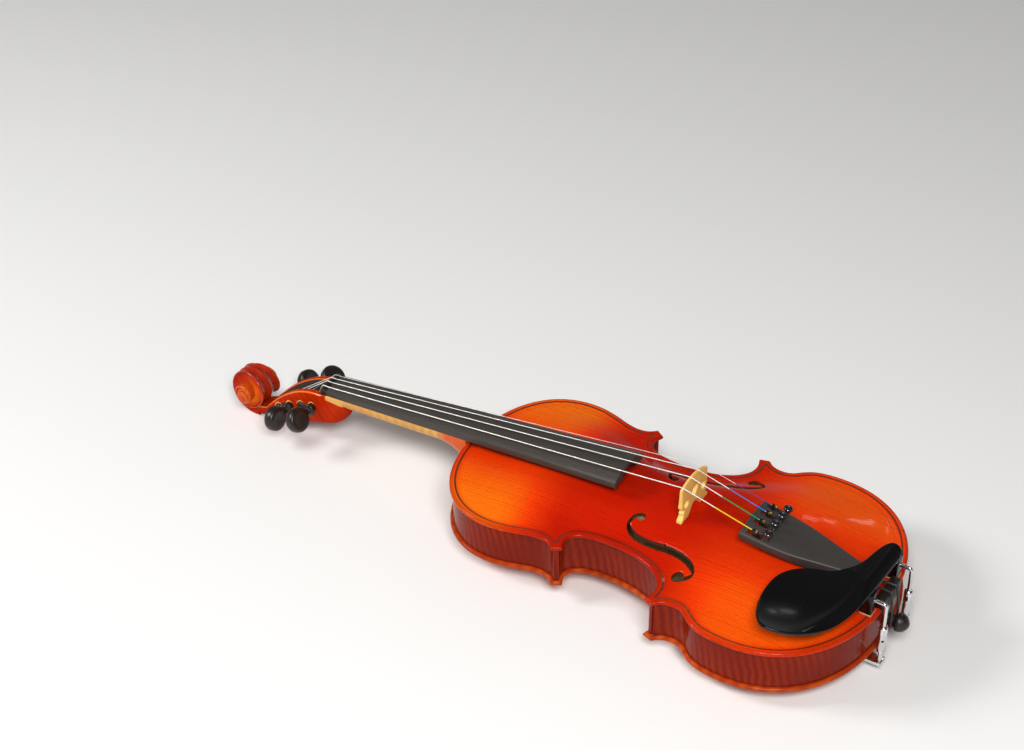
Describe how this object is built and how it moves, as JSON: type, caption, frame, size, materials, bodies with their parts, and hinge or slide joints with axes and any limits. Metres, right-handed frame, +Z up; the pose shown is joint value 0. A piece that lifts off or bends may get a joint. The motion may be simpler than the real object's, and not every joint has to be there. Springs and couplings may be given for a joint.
{
  "type": "violin",
  "caption": "Full-size violin: arched varnished body with sound holes and ribs, scrolled neck and pegs, fingerboard, bridge, strings, tailpiece with fine tuners, and a clamped chin rest.",
  "frame": {"origin": "middle of the bounding box at the surface on which the violin lies on its back", "axes": "+X from the scroll towards the tail, +Y towards the treble side, +Z up, away from the back"},
  "size_m": [0.6098, 0.2076, 0.0996],
  "materials": {
    "varnished_spruce": "gloss orange-red varnish",
    "varnished_maple": "gloss red-brown varnish",
    "neck_maple": "satin on the shaft, gloss on the head",
    "purfling_wood": "dark inlay",
    "inner_wood": "bare",
    "ebony": "satin",
    "bridge_maple": "bare",
    "string_metal": "bright",
    "tail_composite": "matte",
    "tuner_metal": "satin",
    "knob_metal": "polished dark",
    "tail_nylon": "satin",
    "rest_black": "gloss",
    "cork": "bare cork",
    "clamp_chrome": "polished"
  },
  "bodies": {
    "violin": {"top_plate": "varnished_spruce", "back_plate": "varnished_maple", "top_purfling": "purfling_wood", "back_purfling": "purfling_wood", "rib_upper_bass": "varnished_maple", "rib_upper_treble": "varnished_maple", "rib_waist_bass": "varnished_maple", "rib_waist_treble": "varnished_maple", "rib_lower_bass": "varnished_maple", "rib_lower_treble": "varnished_maple", "linings_top": "inner_wood", "linings_back": "inner_wood", "neck_block": "inner_wood", "end_block": "inner_wood", "corner_blocks": "inner_wood", "bass_bar": "inner_wood", "sound_post": "inner_wood", "neck": "neck_maple", "fingerboard": "ebony", "nut": "ebony", "saddle": "ebony", "bridge": "bridge_maple", "string_g": "string_metal", "string_d": "string_metal", "string_a": "string_metal", "string_e": "string_metal", "tailpiece": "tail_composite", "tail_cord": "tail_nylon", "tuner_pin": "tuner_metal", "end_button": "ebony", "chin_rest": "rest_black", "chin_rest_cork": "cork", "clamp_arms": "clamp_chrome"},
    "peg_g": {"peg_g": "ebony", "wound_g": "string_metal"},
    "peg_e": {"peg_e": "ebony", "wound_e": "string_metal"},
    "peg_d": {"peg_d": "ebony", "wound_d": "string_metal"},
    "peg_a": {"peg_a": "ebony", "wound_a": "string_metal"},
    "tuner_screw_g": {"tuner_screw_g": "tuner_metal"},
    "tuner_knob_g": {"tuner_knob_g": "knob_metal"},
    "tuner_lever_g": {"tuner_lever_g": "tuner_metal"},
    "tuner_screw_d": {"tuner_screw_d": "tuner_metal"},
    "tuner_knob_d": {"tuner_knob_d": "knob_metal"},
    "tuner_lever_d": {"tuner_lever_d": "tuner_metal"},
    "tuner_screw_a": {"tuner_screw_a": "tuner_metal"},
    "tuner_knob_a": {"tuner_knob_a": "knob_metal"},
    "tuner_lever_a": {"tuner_lever_a": "tuner_metal"},
    "tuner_screw_e": {"tuner_screw_e": "tuner_metal"},
    "tuner_knob_e": {"tuner_knob_e": "knob_metal"},
    "tuner_lever_e": {"tuner_lever_e": "tuner_metal"},
    "clamp_barrel_bass": {"clamp_barrel_bass": "clamp_chrome"},
    "clamp_barrel_treble": {"clamp_barrel_treble": "clamp_chrome"},
    "clamp_foot": {"clamp_foot": "clamp_chrome", "clamp_foot_cork": "cork"}
  },
  "joints": [
    {"name": "peg_turn_g", "type": "hinge", "parent": "violin", "child": "peg_g", "pos_m": [-0.21562, 0, 0.03571], "axis": [0, 1, 0], "continuous": true},
    {"name": "peg_turn_d", "type": "hinge", "parent": "violin", "child": "peg_d", "pos_m": [-0.24061, 0, 0.02637], "axis": [0, 1, 0], "continuous": true},
    {"name": "peg_turn_a", "type": "hinge", "parent": "violin", "child": "peg_a", "pos_m": [-0.25316, 0, 0.01927], "axis": [0, 1, 0], "continuous": true},
    {"name": "peg_turn_e", "type": "hinge", "parent": "violin", "child": "peg_e", "pos_m": [-0.2281, 0, 0.03187], "axis": [0, 1, 0], "continuous": true},
    {"name": "tuner_slide_g", "type": "slide", "parent": "violin", "child": "tuner_screw_g", "axis": [-0.1764, 0, -0.9843], "range_m": [0, 0.002]},
    {"name": "tuner_turn_g", "type": "hinge", "parent": "tuner_screw_g", "child": "tuner_knob_g", "pos_m": [0.19759, -0.016, 0.07855], "axis": [-0.1764, 0, -0.9843], "range_deg": [0, 1440.01]},
    {"name": "tuner_tilt_g", "type": "hinge", "parent": "violin", "child": "tuner_lever_g", "pos_m": [0.18926, -0.016, 0.07404], "axis": [0, 1, 0], "range_deg": [0, 20.63]},
    {"name": "tuner_slide_d", "type": "slide", "parent": "violin", "child": "tuner_screw_d", "axis": [-0.1764, 0, -0.9843], "range_m": [0, 0.002]},
    {"name": "tuner_turn_d", "type": "hinge", "parent": "tuner_screw_d", "child": "tuner_knob_d", "pos_m": [0.19759, -0.00533, 0.07855], "axis": [-0.1764, 0, -0.9843], "range_deg": [0, 1440.01]},
    {"name": "tuner_tilt_d", "type": "hinge", "parent": "violin", "child": "tuner_lever_d", "pos_m": [0.18926, -0.00533, 0.07404], "axis": [0, 1, 0], "range_deg": [0, 20.63]},
    {"name": "tuner_slide_a", "type": "slide", "parent": "violin", "child": "tuner_screw_a", "axis": [-0.1764, 0, -0.9843], "range_m": [0, 0.002]},
    {"name": "tuner_turn_a", "type": "hinge", "parent": "tuner_screw_a", "child": "tuner_knob_a", "pos_m": [0.19759, 0.00533, 0.07855], "axis": [-0.1764, 0, -0.9843], "range_deg": [0, 1440.01]},
    {"name": "tuner_tilt_a", "type": "hinge", "parent": "violin", "child": "tuner_lever_a", "pos_m": [0.18926, 0.00533, 0.07404], "axis": [0, 1, 0], "range_deg": [0, 20.63]},
    {"name": "tuner_slide_e", "type": "slide", "parent": "violin", "child": "tuner_screw_e", "axis": [-0.1764, 0, -0.9843], "range_m": [0, 0.002]},
    {"name": "tuner_turn_e", "type": "hinge", "parent": "tuner_screw_e", "child": "tuner_knob_e", "pos_m": [0.19759, 0.016, 0.07855], "axis": [-0.1764, 0, -0.9843], "range_deg": [0, 1440.01]},
    {"name": "tuner_tilt_e", "type": "hinge", "parent": "violin", "child": "tuner_lever_e", "pos_m": [0.18926, 0.016, 0.07404], "axis": [0, 1, 0], "range_deg": [0, 20.63]},
    {"name": "clamp_turn_bass", "type": "hinge", "parent": "violin", "child": "clamp_barrel_bass", "pos_m": [0.29388, -0.022, 0.03082], "axis": [0.0202, 0, 0.9998], "range_deg": [0, 720.01]},
    {"name": "clamp_turn_treble", "type": "hinge", "parent": "violin", "child": "clamp_barrel_treble", "pos_m": [0.29388, 0.022, 0.03082], "axis": [0.0202, 0, 0.9998], "range_deg": [0, 720.01]},
    {"name": "clamp_foot_slide", "type": "slide", "parent": "violin", "child": "clamp_foot", "axis": [-0.0202, 0, -0.9998], "range_m": [0, 0.0025]}
  ],
  "couplings": [
    {"joint": "tuner_turn_g", "follows": "tuner_slide_g", "rad_per_m": 12566},
    {"joint": "tuner_tilt_g", "follows": "tuner_slide_g", "rad_per_m": 180},
    {"joint": "tuner_turn_d", "follows": "tuner_slide_d", "rad_per_m": 12566},
    {"joint": "tuner_tilt_d", "follows": "tuner_slide_d", "rad_per_m": 180},
    {"joint": "tuner_turn_a", "follows": "tuner_slide_a", "rad_per_m": 12566},
    {"joint": "tuner_tilt_a", "follows": "tuner_slide_a", "rad_per_m": 180},
    {"joint": "tuner_turn_e", "follows": "tuner_slide_e", "rad_per_m": 12566},
    {"joint": "tuner_tilt_e", "follows": "tuner_slide_e", "rad_per_m": 180},
    {"joint": "clamp_turn_bass", "follows": "clamp_foot_slide", "rad_per_m": 5026.5},
    {"joint": "clamp_turn_treble", "follows": "clamp_foot_slide", "rad_per_m": 5026.5}
  ]
}
